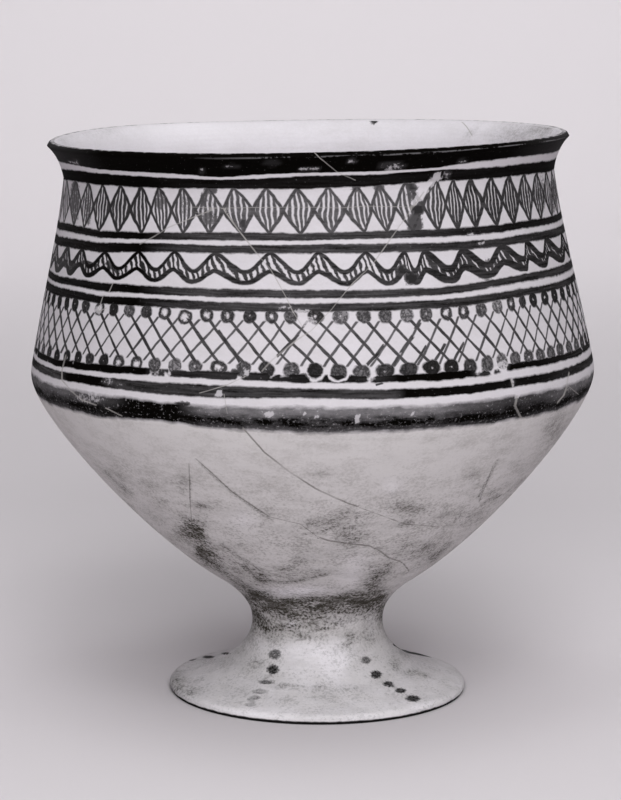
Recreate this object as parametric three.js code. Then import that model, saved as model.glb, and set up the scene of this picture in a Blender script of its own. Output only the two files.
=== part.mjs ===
// A footed goblet of thin fired clay, thrown on a wheel and painted.
// One piece: a low flaring foot, a short solid stem, a wide bowl with a sharp shoulder
// below its middle, a wall that draws in to a neck, and a lip that turns out.
// Millimetres, +Z up, standing on the foot's resting ring. The painted bands are colour only.
import * as THREE from 'three';
import { mergeVertices } from 'three/addons/utils/BufferGeometryUtils.js';

// Foot
const footRadius = 40;
const footEdgeHeight = 2.4;
const footUndercut = 0.6;
const restingRingWidth = 5;
const undersideHollow = 3.5;

// Stem
const stemRadius = 17.6;
const waistHeight = 19;

// Bowl, outside
const bowlBaseRadius = 26;
const bowlBaseHeight = 31;
const shoulderRadius = 75;
const shoulderHeight = 87;
const shoulderRounding = 2.5;
const neckRadius = 64.5;
const neckHeight = 139.5;
const rimRadius = 68.5;
const rimHeight = 149.5;

// Bowl, inside
const wallThickness = 4.2;
const lipThickness = 2.8;
const lipDepth = 9;
const floorHeight = 32;

// The bowl was set on its foot a little askew, and leans further towards the rim
const rimShift = -3.2;
const rimTilt = THREE.MathUtils.degToRad(1.45);

// Facets
const turnSegments = 64;
const curveSteps = { underside: 3, edge: 2, foot: 6, stem: 5, bowl: 9, shoulder: 3, wall: 7, lip: 4, floor: 4 };

const clay = new THREE.MeshStandardMaterial({ color: 0xcfcbca, roughness: 0.85, metalness: 0 });

// Points along one curve of the profile, in radius and height, without its first point
function along(curve, steps) {
  return curve.getPoints(steps).slice(1);
}

function point(radius, height) {
  return new THREE.Vector2(radius, height);
}

// Resting ring, thin rounded edge and the slope that sweeps up into the stem
function footProfile() {
  const ringInner = point(footRadius - footUndercut - restingRingWidth, 0);
  const ringOuter = point(footRadius - footUndercut, 0);
  const edgeTop = point(footRadius - footUndercut, footEdgeHeight);
  const waist = point(stemRadius, waistHeight);
  const slope = (footRadius - stemRadius) / 2;
  const hollow = new THREE.QuadraticBezierCurve(
    point(0, undersideHollow), point(ringInner.x * 0.75, undersideHollow), ringInner);
  const edge = new THREE.QuadraticBezierCurve(
    ringOuter, point(footRadius + footUndercut, footEdgeHeight / 2), edgeTop);
  const sweep = new THREE.CubicBezierCurve(
    edgeTop, point(footRadius - slope, footEdgeHeight * 2), point(stemRadius, waistHeight / 2), waist);
  return [
    point(0, undersideHollow),
    ...along(hollow, curveSteps.underside),
    ringOuter,
    ...along(edge, curveSteps.edge),
    ...along(sweep, curveSteps.foot),
  ];
}

// Outside of the bowl, from the waist of the stem up to the neck
function bowlProfile() {
  const waist = point(stemRadius, waistHeight);
  const base = point(bowlBaseRadius, bowlBaseHeight);
  const shoulder = point(shoulderRadius, shoulderHeight);
  const belly = shoulderRadius - bowlBaseRadius;
  const depth = shoulderHeight - bowlBaseHeight;
  const bellyLow = point(bowlBaseRadius + belly * 0.395, bowlBaseHeight + depth * 0.215);
  const bellyHigh = point(shoulderRadius - belly * 0.085, shoulderHeight - depth * 0.25);
  const draw = shoulderRadius - neckRadius;
  const height = neckHeight - shoulderHeight;
  const wallLow = point(shoulderRadius - draw * 0.35, shoulderHeight + height * 0.38);
  const wallHigh = point(neckRadius + draw * 0.17, neckHeight - height * 0.28);
  const towards = (to) => shoulder.clone().add(to.clone().sub(shoulder).setLength(shoulderRounding));
  const under = towards(bellyHigh);
  const above = towards(wallLow);
  const flare = (bowlBaseHeight - waistHeight) / 3;
  const rise = new THREE.CubicBezierCurve(
    waist,
    point(stemRadius, waistHeight + flare),
    point(bowlBaseRadius - flare * 1.45, bowlBaseHeight - flare),
    base);
  const bellyCurve = new THREE.CubicBezierCurve(base, bellyLow, bellyHigh, under);
  const shoulderCurve = new THREE.QuadraticBezierCurve(under, shoulder, above);
  const wallCurve = new THREE.CubicBezierCurve(above, wallLow, wallHigh, point(neckRadius, neckHeight));
  return [
    ...along(rise, curveSteps.stem),
    ...along(bellyCurve, curveSteps.bowl),
    ...along(shoulderCurve, curveSteps.shoulder),
    ...along(wallCurve, curveSteps.wall),
  ];
}

// Lip that turns out from the neck to the rounded edge of the mouth
function lipProfile() {
  const height = rimHeight - neckHeight;
  const flare = new THREE.QuadraticBezierCurve(
    point(neckRadius, neckHeight),
    point(neckRadius + (rimRadius - neckRadius) * 0.2, neckHeight + height * 0.55),
    point(rimRadius, rimHeight - lipThickness / 2));
  const mouth = new THREE.QuadraticBezierCurve(
    point(rimRadius, rimHeight - lipThickness / 2),
    point(rimRadius - lipThickness / 4, rimHeight + lipThickness / 5),
    point(rimRadius - lipThickness, rimHeight - lipThickness / 4));
  return [...along(flare, curveSteps.lip), ...along(mouth, curveSteps.edge)];
}

// Inside of the bowl: the outside moved in along its normals by the wall, thinner at the lip
function insideProfile(outside) {
  const inside = [];
  for (let i = outside.length - 2; i > 0; i -= 1) {
    const way = outside[i + 1].clone().sub(outside[i - 1]).normalize();
    const below = (rimHeight - outside[i].y) / lipDepth;
    const wall = THREE.MathUtils.lerp(lipThickness, wallThickness, Math.min(below, 1));
    const moved = point(outside[i].x - way.y * wall, outside[i].y + way.x * wall);
    if (moved.y > floorHeight + wallThickness && moved.y < rimHeight - lipThickness) inside.push(moved);
  }
  const lowest = inside[inside.length - 1];
  const floor = new THREE.QuadraticBezierCurve(
    lowest, point(lowest.x * 0.65, floorHeight), point(0, floorHeight));
  return [...inside, ...along(floor, curveSteps.floor)];
}

// Each ring of the bowl is shifted and tipped in step with its height above the waist
function leanBowl(geometry) {
  const positions = geometry.attributes.position;
  for (let i = 0; i < positions.count; i += 1) {
    const x = positions.getX(i);
    const z = positions.getZ(i);
    const rise = Math.max(0, z - waistHeight) / (rimHeight - waistHeight);
    positions.setX(i, x + rimShift * rise);
    positions.setZ(i, z + x * Math.tan(rimTilt * rise));
  }
}

// The whole goblet, turned about +Z and stood over the middle of its own bounding box
function goblet() {
  const outside = [...bowlProfile(), ...lipProfile()];
  const profile = [...footProfile(), ...outside, ...insideProfile(outside)];
  const turned = new THREE.LatheGeometry(profile, turnSegments);
  turned.deleteAttribute('normal');
  turned.deleteAttribute('uv');
  turned.rotateX(Math.PI / 2);
  leanBowl(turned);
  const geometry = mergeVertices(turned);
  geometry.computeBoundingBox();
  const { min, max } = geometry.boundingBox;
  geometry.translate(-(min.x + max.x) / 2, -(min.y + max.y) / 2, 0);
  geometry.computeVertexNormals();
  const mesh = new THREE.Mesh(geometry, clay);
  mesh.name = 'goblet';
  return mesh;
}

const model = new THREE.Group();
model.add(goblet());

export default model;
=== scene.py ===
import math

import bpy
import numpy as np
from mathutils import Matrix


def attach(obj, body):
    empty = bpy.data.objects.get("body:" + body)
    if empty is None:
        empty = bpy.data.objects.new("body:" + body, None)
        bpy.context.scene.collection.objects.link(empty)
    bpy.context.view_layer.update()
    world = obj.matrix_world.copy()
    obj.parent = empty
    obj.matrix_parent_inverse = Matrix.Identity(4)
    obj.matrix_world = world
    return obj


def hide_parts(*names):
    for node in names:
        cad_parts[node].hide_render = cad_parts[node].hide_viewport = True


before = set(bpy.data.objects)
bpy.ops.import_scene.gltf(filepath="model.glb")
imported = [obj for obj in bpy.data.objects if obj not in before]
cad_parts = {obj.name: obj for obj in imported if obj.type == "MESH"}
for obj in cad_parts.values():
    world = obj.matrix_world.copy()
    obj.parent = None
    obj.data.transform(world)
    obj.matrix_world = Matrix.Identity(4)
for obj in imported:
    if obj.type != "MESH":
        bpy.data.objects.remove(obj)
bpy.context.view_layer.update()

# A painted clay goblet. Metres, +Z up, the painted front towards -Y.
# The body is one turned surface. Bands, lozenges, waves, dots and crosshatch are colour only,
# worked out by the material from counts and heights that the mesh carries at its corners.

# Foot
FOOT_RADIUS = 0.040
FOOT_EDGE_HEIGHT = 0.0024
FOOT_UNDERCUT = 0.0006
RESTING_RING_WIDTH = 0.005
UNDERSIDE_HOLLOW = 0.0035

# Stem
STEM_RADIUS = 0.0176
WAIST_HEIGHT = 0.019

# Bowl, outside
BOWL_BASE_RADIUS = 0.026
BOWL_BASE_HEIGHT = 0.031
SHOULDER_RADIUS = 0.075
SHOULDER_HEIGHT = 0.087
SHOULDER_ROUNDING = 0.0025
NECK_RADIUS = 0.0645
NECK_HEIGHT = 0.1395
RIM_RADIUS = 0.0685
RIM_HEIGHT = 0.1495

# Bowl, inside
WALL_THICKNESS = 0.0042
LIP_THICKNESS = 0.0028
LIP_DEPTH = 0.009
FLOOR_HEIGHT = 0.032

# The bowl leans, each ring shifted and tipped in step with its height above the waist
RIM_SHIFT = -0.0032
RIM_TILT = math.radians(1.45)

# The hand-made rim stands a little high at the back left
RIM_SWELL = 0.0008
RIM_SWELL_AT = math.radians(-128)
RIM_SWELL_WIDTH = math.radians(32)

# Behind, the rim's paint stops a little short of the edge
BACK_PAINT_DROP = 0.0002

# Levels at which the dots were read, from the band above and the band below
DOTS_READ_BELOW = 0.0018
DOTS_READ_ABOVE = 0.0010

# Millimetres in a metre: the finish works in millimetres
MM = 1000

# How far a drawn line is followed to its sides, in pixels of the picture
LINE_REACH = 2
INSIDE_LINE_REACH = 9

# What a corner carries where no line and no dot is near
NO_LINE_NEAR = 1e2
NO_DOT_NEAR = -9.0

# Grid
COLUMNS = 480
FRONT_CLOSENESS = 0.33
ROWS = dict(hollow=4, edge=4, sweep=24, rise=12, belly=34, shoulder=6, wall=62, flare=10, mouth=4, floor=6)
INSIDE_EVERY = 4
UNDERSIDE_ROWS = ROWS["hollow"] + 1

# The flat sheet that the finish is laid out on: its bare edge, and how far up the wall's front half lies
SHEET_EDGE = 0.003
FRONT_HALF_UP = 0.345

# The camera that took the photograph, and its picture
PICTURE_WIDTH = 621
PICTURE_HEIGHT = 800
CAMERA_PLACE = (-0.0005, -0.7393, 0.1960)
CAMERA_PITCH = math.radians(9.03)
CAMERA_ROLL = math.radians(0.29)
CAMERA_LENS = 126.0
FILM_LONG_SIDE = 36.0

# Where painted lines run, read off the photograph, a few then mended against renders:
# heights in the picture (y) of each band's edges at these places across it (x), from the rim down
ACROSS = (60, 100, 160, 220, 300, 380, 440, 470, 500, 550)
EDGES_DOWN = {
    "rim band low": (161, 169, 172.5, 177, 172.5, 171.5, 167, 161.5, 157.5, 152),
    "second band high": (169.5, 173.5, 177.5, 180, 176.5, 174.5, 169.5, 170, 167.5, 161.5),
    "second band low": (178, 184, 187, 187.5, 188, 184.5, 179.5, 178.7, 176.5, 170.5),
    "third band high": (222.5, 231.5, 233.5, 233, 234, 231.5, 230, 228, 225.5, 217.5),
    "third band low": (228.5, 237, 239, 239, 240, 237.5, 235.5, 234, 231, 223),
    "fourth band high": (237.5, 243.5, 243.5, 246.5, 245, 244.5, 243.5, 241.5, 239.5, 230.5),
    "fourth band low": (245, 251.5, 250.5, 252, 252, 251, 250, 248, 245.5, 237.5),
    "fifth band high": (277, 283, 287.5, 290, 291, 291, 288.5, 284.5, 279.5, 269.5),
    "fifth band low": (282.5, 290, 294, 296, 297, 297, 294, 290.5, 284, 275.5),
    "sixth band high": (288, 296.5, 299, 302.5, 304.5, 303.5, 300.5, 297.3, 293.3, 285.5),
    "sixth band low": (295.5, 302.5, 306, 310, 311, 310, 307, 304.3, 299, 290),
    "seventh band high": (360.5, 364.5, 369.5, 371.5, 374.5, 376, 373, 370.5, 366, 358),
    "seventh band low": (366, 371.5, 374.5, 378, 381, 381, 379, 376, 370.5, 362.5),
    "eighth band high": (371.5, 377.5, 383, 386, 389.5, 390.5, 388.5, 386, 381.7, 373.5),
    "eighth band low": (378.5, 385.5, 393.5, 397, 396.5, 398.5, 395, 393, 388, 380),
    "broad band high": (388, 396.5, 402.5, 408, 409, 409, 405.5, 401.5, 398.5, 391.5),
    "broad band low": (407, 417, 421, 429, 432.5, 432.5, 428.5, 425.5, 422, 411.5),
}

# Where the repeated strokes stand, read across the picture (x)
LOZENGE_TOPS = (66, 75, 88, 102, 120, 141, 158, 182, 208, 233, 266, 297, 328, 357, 379, 405, 437,
                453, 470, 491, 509, 524, 537, 547)
LOZENGE_FEET = (64, 74, 84, 99, 118, 142, 162, 183, 209, 242, 269, 301, 331, 365, 387, 413, 438,
                458, 476, 497, 514, 530, 541, 552)
WAVE_PEAKS = (66, 80, 103, 136.5, 173, 214, 270, 319, 367, 407, 426, 465, 504, 529, 549)
WAVE_TROUGHS = (59, 71, 89, 118, 155, 193, 245.5, 298, 346, 388, 415, 451, 488, 525, 543.5, 561)
UPPER_DOTS = (60, 67, 75, 85.6, 100, 113.7, 129, 146.5, 164.6, 185.4, 206.8, 227.5, 249.6, 271.6,
              289.7, 315, 340.6, 364, 385.5, 407, 426, 446, 463, 481, 497.8, 511, 522.6, 533, 545, 554.7)
LOWER_DOTS = (57, 67, 78, 89, 103, 118, 136.5, 154, 174.7, 194, 218, 244, 265.6, 292.4, 315.8, 338,
              361.4, 385, 409, 432.9, 452, 470, 487.8, 502.5, 516, 529, 541, 551, 560.7, 569.5, 576.8)

# How each dot came out: strength of the paint, bare middle, and how far its middle sits up or down
DOT_LOOKS = {
    "s": (0.985, 0.0, 0.0),
    "d": (0.96, 0.0, 0.0),
    "g": (0.89, 0.0, 0.0),
    "p": (0.80, 0.0, 0.0),
    "r": (0.95, 0.42, 0.0),
    "o": (0.94, 0.28, 0.0),
    "c": (0.95, 0.46, -0.45),
    "h": (0.985, -1.0, 0.1),
    "q": (0.93, -1.0, 0.0),
    "b": (0.99, 0.0, 0.15),
}
UPPER_DOT_LOOKS = "sssdrsgdrcrodogdpggpgrogpodsss"
LOWER_DOT_LOOKS = "sssdsrrgpgrgdghqgddbbdgpgggggggd"

# How full the brush was along the bands, at places across the picture: 1 is black, 0 is dry
UPPER_LOAD = ((40, 0.5), (60, 0.75), (90, 0.85), (110, 0.95), (140, 1.0), (165, 0.6), (200, 0.3),
              (300, 0.2), (400, 0.25), (430, 0.5), (490, 0.4), (520, 0.5), (560, 0.5))
SEVENTH_LOAD = ((40, 0.8), (65, 1.0), (145, 1.0), (153, 0.45), (185, 0.65), (245, 0.6), (300, 0.85),
                (345, 0.75), (375, 0.55), (398, 1.0), (470, 1.0), (477, 0.4), (503, 0.4), (509, 1.0),
                (555, 0.9), (575, 0.7))
EIGHTH_LOAD = ((40, 0.2), (58, 0.2), (66, 1.0), (102, 1.0), (108, 0.5), (140, 0.4), (205, 0.4),
               (215, 0.1), (226, 0.15), (232, 0.4), (395, 0.3), (406, 1.0), (545, 0.9), (580, 0.6))
BROAD_LOAD = ((40, 0.4), (70, 0.5), (95, 0.75), (120, 0.85), (132, 1.0), (180, 1.0), (215, 0.25),
              (430, 0.25), (470, 0.65), (510, 0.8), (540, 0.7), (565, 0.4), (580, 0.3))
LOADS_DOWN = {"seventh band": SEVENTH_LOAD, "eighth band": EIGHTH_LOAD, "broad band": BROAD_LOAD}
LOAD_MARGIN = 0.0005

# Mended breaks: half width, then places along it in the picture (x, y)
BREAKS = (
    (0.5, (313, 151), (320, 158), (337, 172)),
    (0.5, (337, 172), (355, 180)),
    (0.3, (190, 207), (222, 208), (300, 207), (340, 208), (366, 206), (412, 207)),
    (0.6, (140, 244), (155, 236), (167, 228), (194, 217), (212, 210)),
    (0.7, (222, 207), (240, 232), (258, 255)),
    (0.5, (258, 255), (271, 270), (286, 297), (292, 310), (302, 326)),
    (0.6, (424, 192), (394, 234), (373, 264), (351, 285)),
    (0.5, (351, 285), (331, 310), (312, 330)),
    (0.8, (312, 330), (294, 342), (270, 362), (262, 371)),
    (0.5, (246, 376), (227, 385), (200, 393)),
    (0.4, (224, 394), (227, 412)),
    (0.8, (243, 428), (264, 452), (288, 471), (316, 489), (340, 500), (358, 507)),
    (0.4, (358, 507), (380, 515), (405, 524), (440, 527)),
    (0.5, (196, 459), (213, 474), (232, 492), (250, 504), (270, 517)),
    (0.3, (270, 517), (300, 524), (318, 537)),
    (0.8, (318, 537), (330, 541), (352, 544), (370, 546), (380, 551), (389, 558)),
    (0.7, (389, 558), (396, 560), (403, 563), (409, 571)),
    (0.4, (189, 463), (190, 500), (192, 524)),
    (0.8, (511, 379), (513, 387)),
    (1.1, (517, 396), (515, 406), (521, 418)),
    (0.7, (569, 372), (567, 385), (564, 395), (557, 403)),
    (0.5, (567, 385), (578, 394)),
    (0.7, (66, 355), (62, 370), (62, 380), (70, 390), (82, 400), (96, 405)),
    (0.6, (106, 408), (122, 416)),
    (0.4, (103, 296), (98, 312), (106, 308)),
    (0.5, (113, 283), (109, 292)),
    (0.3, (494, 463), (487, 482), (479, 502)),
)
INSIDE_BREAKS = ((0.5, (460, 120), (467, 127), (471, 134), (475, 141)),)

# Paint laid on again over the pattern: half width, then places along it
STROKES = (
    (2.2, (420, 322), (416, 329)),
    (2.0, (413, 336), (401, 353)),
    (1.7, (399, 356), (392, 367)),
    (1.7, (384, 345), (378, 353), (367, 365)),
    (1.2, (426, 346), (421, 354)),
    (1.5, (445, 344), (441, 351), (435, 361)),
    (1.2, (421, 355), (415, 364)),
    (1.4, (464, 343), (457, 354), (454, 361)),
    (2.0, (218, 331), (226, 342), (235, 354), (240, 362)),
    (1.5, (277, 356), (298, 335)),
    (2.6, (107, 262), (118, 272)),
    (2.2, (60, 262), (70, 268), (84, 262), (97, 266)),
    (1.0, (393, 644), (407, 652), (423, 655), (436, 657)),
    (1.0, (297, 382), (303, 382)),
    (1.1, (376, 385), (383, 383)),
)

# Lines of dirt on the plain clay: half width, then places along it
DIRT_LINES = (
    (1.6, (200, 463), (215, 477), (232, 492)),
    (2.0, (232, 492), (250, 505), (272, 520)),
    (1.2, (190, 478), (190, 500)),
    (2.2, (243, 566), (258, 579), (285, 583), (312, 578), (330, 573)),
    (4.0, (197, 546), (212, 563), (235, 580), (256, 591)),
    (2.5, (105, 472), (118, 484), (132, 494)),
    (3.5, (430, 562), (452, 541)),
    (1.6, (478, 498), (498, 460)),
    (5.0, (392, 564), (368, 587)),
    (2.0, (222, 545), (240, 558), (262, 570)),
    (1.6, (303, 534), (320, 533), (336, 526)),
    (2.0, (480, 505), (500, 494)),
)

# Smears of paint over the pattern, each a place, a half width, a half height and a strength
SMEARS = (
    (208, 190, 6, 4, 0.7), (214, 190, 4, 4, 0.75), (207, 206, 7, 14, 0.35), (210, 219, 9, 7, 0.62),
    (203, 200, 3, 8, 0.8), (411.5, 186.5, 8, 2.8, 0.97), (412, 194, 6, 7, 0.7), (418, 209, 7, 6, 0.97),
    (415, 224, 8, 11, 0.8), (379, 188, 6, 5, 0.7), (356, 188, 6, 4, 0.7), (412, 278, 8, 7, 0.985),
    (402, 270, 6, 5, 0.97), (486, 277, 7, 3, 0.7), (492, 262, 8, 4, 0.6), (75, 200, 5, 22, 0.6),
    (88, 208, 4, 18, 0.55), (160, 200, 6, 12, 0.55), (541, 195, 6, 18, 0.5), (553, 195, 4, 20, 0.5),
    (527, 200, 4, 12, 0.4), (236, 373, 6, 4, 0.93), (302, 378, 7, 4, 0.985), (182, 404.5, 8, 3.5, 0.985),
    (222, 393, 4, 5, 0.6), (243, 224, 4, 6, 0.9), (185, 205, 5, 14, 0.5),
)

# Places where the paint has rubbed off: as the smears
RUBS = (
    (437, 177, 4, 4, 0.9), (431, 183, 4, 4, 0.9), (425, 190, 4, 4, 0.9), (419, 197, 4, 4, 0.85),
    (414, 203, 3, 3, 0.7), (392, 166, 13, 4, 0.36), (352, 161, 5, 2.2, 0.4), (356, 166, 5, 1, 0.4),
    (462, 163, 5, 4, 0.3), (272, 163, 9, 3, 0.2), (232, 166, 8, 2, 0.25), (202, 171, 4, 2, 0.3),
    (447, 174, 4, 4, 0.4), (74, 162, 6, 2, 0.4), (282, 171.5, 22, 0.9, 0.55), (310, 169, 10, 0.9, 0.5),
    (108, 381, 6, 4, 0.4), (120, 385, 5, 2.5, 0.3), (269, 414, 5, 3, 0.9), (305, 415, 2, 1.6, 0.9),
    (316, 417, 2.5, 1.4, 0.8), (358, 417, 3, 1.6, 0.9), (357, 421, 3, 2, 0.85), (413, 413.5, 2, 1.4, 0.9),
    (512.5, 383, 2, 5, 0.6), (517, 397, 2.5, 2, 0.9), (90, 398, 16, 5, 0.45), (219, 394, 4, 3, 0.9),
    (246, 373, 3, 4, 0.7), (98, 311, 4, 4, 0.5), (503, 365, 6, 5, 0.5), (267, 682, 10, 3, 0.42),
    (260, 691.5, 9, 3, 0.55), (253.5, 698.5, 8, 2.5, 0.4), (250, 704.5, 7, 2.5, 0.55),
    (366, 660, 6, 4.5, 0.42), (275, 654.5, 7, 5, 0.34), (306, 322, 10, 6, 0.5), (302, 311, 8, 3, 0.5),
    (285, 307, 7, 3, 0.42), (470, 234, 4, 2, 0.6), (481, 243, 4, 2, 0.5),
)

# Dots on the foot and a dab at the far rim: place, half width and half height in the picture
FOOT_DOTS = (
    (275, 654.5, 6.2, 4.8), (273, 669.5, 6.2, 4.8), (267, 682, 9.5, 2.2), (260, 691.5, 8.5, 2.4),
    (253.5, 698.5, 7, 1.9), (250, 704.5, 6, 2), (366, 660, 5, 3.6), (376, 674.5, 5.7, 4.1),
    (388.5, 684, 5.7, 2.8), (400.5, 690.5, 5.8, 2.7), (413, 698.5, 7.4, 3.2), (190.5, 659, 5.5, 1.8),
    (208.5, 657, 6, 1.4), (226, 653.5, 5, 1.2),
)
RIM_DABS = ((374, 122, 4.4, 4.2),)

# Grey and brown clouds on the plain clay, most of them stains and a few painted shade: place, half width,
# half height and depth
STAINS_AND_SHADE = (
    (120, 470, 34, 22, 0.10), (186, 527, 9, 10, 0.75), (199, 530, 9, 13, 0.85), (202, 549, 9, 7, 0.7),
    (183, 484, 8, 9, 0.4), (165, 501, 8, 5, 0.35), (203, 506, 12, 3, 0.55), (150, 482, 30, 9, 0.12),
    (262, 512, 12, 8, 0.12), (322, 524, 22, 9, 0.36), (350, 533, 18, 9, 0.62), (361, 518, 14, 6, 0.43),
    (346, 512, 8, 4, 0.3), (400, 506, 16, 7, 0.38), (425, 512, 12, 8, 0.3), (446, 511, 5, 4, 0.35),
    (322, 473, 12, 5, 0.28), (387, 458, 12, 4, 0.2), (405, 524, 10, 3, 0.4), (405, 550, 12, 6, 0.4),
    (430, 550, 10, 5, 0.3), (475, 478, 9, 12, 0.25), (470, 516, 14, 9, 0.35), (500, 496, 14, 5, 0.4),
    (520, 470, 12, 18, 0.2), (500, 445, 14, 16, 0.12), (450, 440, 26, 12, 0.07), (299, 562, 12, 6, 0.3),
    (280, 571, 26, 3.5, 0.5), (322, 573, 18, 4, 0.4), (300, 577, 16, 4, 0.3), (376, 573, 13, 8, 0.42),
    (372, 584, 10, 5, 0.5), (330, 545, 50, 16, 0.06), (250, 548, 36, 18, 0.07), (262, 579, 8, 4, 0.8),
    (236, 590, 18, 8, 0.5), (222, 566, 26, 12, 0.34), (404, 545, 34, 22, 0.08), (256, 596, 14, 7, 0.95),
    (300, 603, 46, 5, 1.3), (345, 602, 28, 7, 1.45), (366, 597, 16, 3.5, 0.95), (258, 610, 9, 12, 0.5),
    (382, 603, 6, 17, 0.65), (283, 612, 34, 8, 0.6), (330, 611, 26, 5, 0.5), (262, 626, 9, 10, 0.6),
    (285, 629, 26, 4.5, 0.6), (300, 637, 30, 3, 0.45), (328, 628, 16, 4, 0.6), (372, 592, 18, 4, 0.42),
    (350, 636, 6, 6, 0.5), (368, 620, 10, 10, 0.3), (348, 645, 7, 3, 0.5), (280, 641, 12, 3, 0.35),
    (366, 640, 10, 6, 0.3), (212, 661, 14, 8, 0.14), (188, 692, 20, 8, 0.42), (176, 680, 8, 14, 0.42),
    (236, 655, 14, 12, 0.12), (318, 687, 8, 3, 0.35), (352, 687, 12, 3, 0.3), (285, 686, 20, 2.5, 0.3),
    (396, 655, 8, 10, 0.22), (416, 670, 14, 5, 0.2), (395, 665, 5, 5, 0.5), (258, 664, 7, 4, 0.55),
    (412, 673, 10, 3.5, 0.55), (426, 675.5, 5, 2, 0.5), (284, 686, 9, 2, 0.5), (268, 677, 4, 2, 0.5),
    # Painted shade: the clouds at (556, 432), (164, 520) and (428, 562) darken the belly's sides where it
    # turns from the light
    (556, 432, 16, 30, 0.45), (164, 520, 10, 12, 0.2), (205, 560, 16, 16, 0.35), (428, 562, 12, 16, 0.25),
    (320, 606, 60, 10, 0.4), (320, 620, 56, 10, 0.2), (300, 700, 60, 8, 0.05), (400, 702, 12, 3, 0.15),
)
STAINS_INSIDE = (
    (520, 132, 26, 7, 0.5), (547, 131, 12, 6, 0.5), (470, 134, 5, 7, 0.3), (350, 143, 30, 7, 0.06),
    (100, 131, 30, 6, 0.14), (60, 138, 10, 6, 0.25),
)
# Whiter places on the clay, like the clouds above; the one at (300, 591), where the bowl's underside faces
# down, is partly painted light
PALE_AND_LIT_PLACES = (
    (334, 652, 22, 14, 0.72), (334, 666, 12, 10, 0.9), (302, 662, 24, 18, 0.4), (330, 682, 26, 8, 0.35),
    (296, 648, 26, 8, 0.5), (292, 624, 5, 3.5, 0.9), (206.5, 541.5, 2.4, 2, 1.2),
    (352, 576, 16, 11, 0.35), (393, 487, 10, 8, 0.35), (345, 620, 22, 9, 0.35), (372, 622, 5, 14, 0.4),
    (300, 712, 60, 6, 0.22), (250, 713, 30, 5, 0.3), (420, 705, 24, 6, 0.3), (300, 591, 36, 5, 0.85),
    (243, 520, 16, 10, 0.3), (356, 560, 18, 8, 0.25), (276, 595, 26, 2.5, 0.3), (185, 128, 60, 14, 0.3),
    (405, 590, 8, 8, 0.2), (258, 645, 12, 10, 0.3),
)


def bend(steps, *handles):
    """Points along the Bezier curve of these handles, in radius and height, without its first point."""
    share = np.linspace(0, 1, steps + 1)[1:, None]
    points = [np.array(handle, float) + 0 * share for handle in handles]
    while len(points) > 1:
        points = [start + (end - start) * share for start, end in zip(points, points[1:])]
    return points[0]


def foot_profile():
    """Radius and height from the middle of the hollow underside over the resting ring to the waist."""
    ring_inner = (FOOT_RADIUS - FOOT_UNDERCUT - RESTING_RING_WIDTH, 0)
    ring_outer = (FOOT_RADIUS - FOOT_UNDERCUT, 0)
    edge_top = (FOOT_RADIUS - FOOT_UNDERCUT, FOOT_EDGE_HEIGHT)
    slope = (FOOT_RADIUS - STEM_RADIUS) / 2
    middle = (0, UNDERSIDE_HOLLOW)
    return np.vstack([
        np.array([middle]),
        bend(ROWS["hollow"], middle, (ring_inner[0] * 0.75, UNDERSIDE_HOLLOW), ring_inner),
        np.array([ring_outer]),
        bend(ROWS["edge"], ring_outer, (FOOT_RADIUS + FOOT_UNDERCUT, FOOT_EDGE_HEIGHT / 2), edge_top),
        bend(ROWS["sweep"], edge_top, (FOOT_RADIUS - slope, FOOT_EDGE_HEIGHT * 2),
             (STEM_RADIUS, WAIST_HEIGHT / 2), (STEM_RADIUS, WAIST_HEIGHT)),
    ])


def bowl_profile():
    """Radius and height of the outside of the bowl, from the waist over the shoulder to the neck."""
    base = np.array([BOWL_BASE_RADIUS, BOWL_BASE_HEIGHT])
    shoulder = np.array([SHOULDER_RADIUS, SHOULDER_HEIGHT])
    belly = SHOULDER_RADIUS - BOWL_BASE_RADIUS
    depth = SHOULDER_HEIGHT - BOWL_BASE_HEIGHT
    belly_low = base + (belly * 0.395, depth * 0.215)
    belly_high = shoulder - (belly * 0.085, depth * 0.25)
    draw = SHOULDER_RADIUS - NECK_RADIUS
    height = NECK_HEIGHT - SHOULDER_HEIGHT
    wall_low = shoulder + (-draw * 0.35, height * 0.38)
    wall_high = (NECK_RADIUS + draw * 0.17, NECK_HEIGHT - height * 0.28)
    under = shoulder + (belly_high - shoulder) * SHOULDER_ROUNDING / np.hypot(*(belly_high - shoulder))
    above = shoulder + (wall_low - shoulder) * SHOULDER_ROUNDING / np.hypot(*(wall_low - shoulder))
    flare = (BOWL_BASE_HEIGHT - WAIST_HEIGHT) / 3
    return np.vstack([
        bend(ROWS["rise"], (STEM_RADIUS, WAIST_HEIGHT), (STEM_RADIUS, WAIST_HEIGHT + flare),
             base - (flare * 1.45, flare), base),
        bend(ROWS["belly"], base, belly_low, belly_high, under),
        bend(ROWS["shoulder"], under, shoulder, above),
        bend(ROWS["wall"], above, wall_low, wall_high, (NECK_RADIUS, NECK_HEIGHT)),
    ])


def lip_profile():
    """Radius and height of the lip, from the neck out and over the rounded edge of the mouth."""
    height = RIM_HEIGHT - NECK_HEIGHT
    tip = (RIM_RADIUS, RIM_HEIGHT - LIP_THICKNESS / 2)
    return np.vstack([
        bend(ROWS["flare"], (NECK_RADIUS, NECK_HEIGHT),
             (NECK_RADIUS + (RIM_RADIUS - NECK_RADIUS) * 0.2, NECK_HEIGHT + height * 0.55), tip),
        bend(ROWS["mouth"], tip, (RIM_RADIUS - LIP_THICKNESS / 4, RIM_HEIGHT + LIP_THICKNESS / 5),
             (RIM_RADIUS - LIP_THICKNESS, RIM_HEIGHT - LIP_THICKNESS / 4)),
    ])


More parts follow.
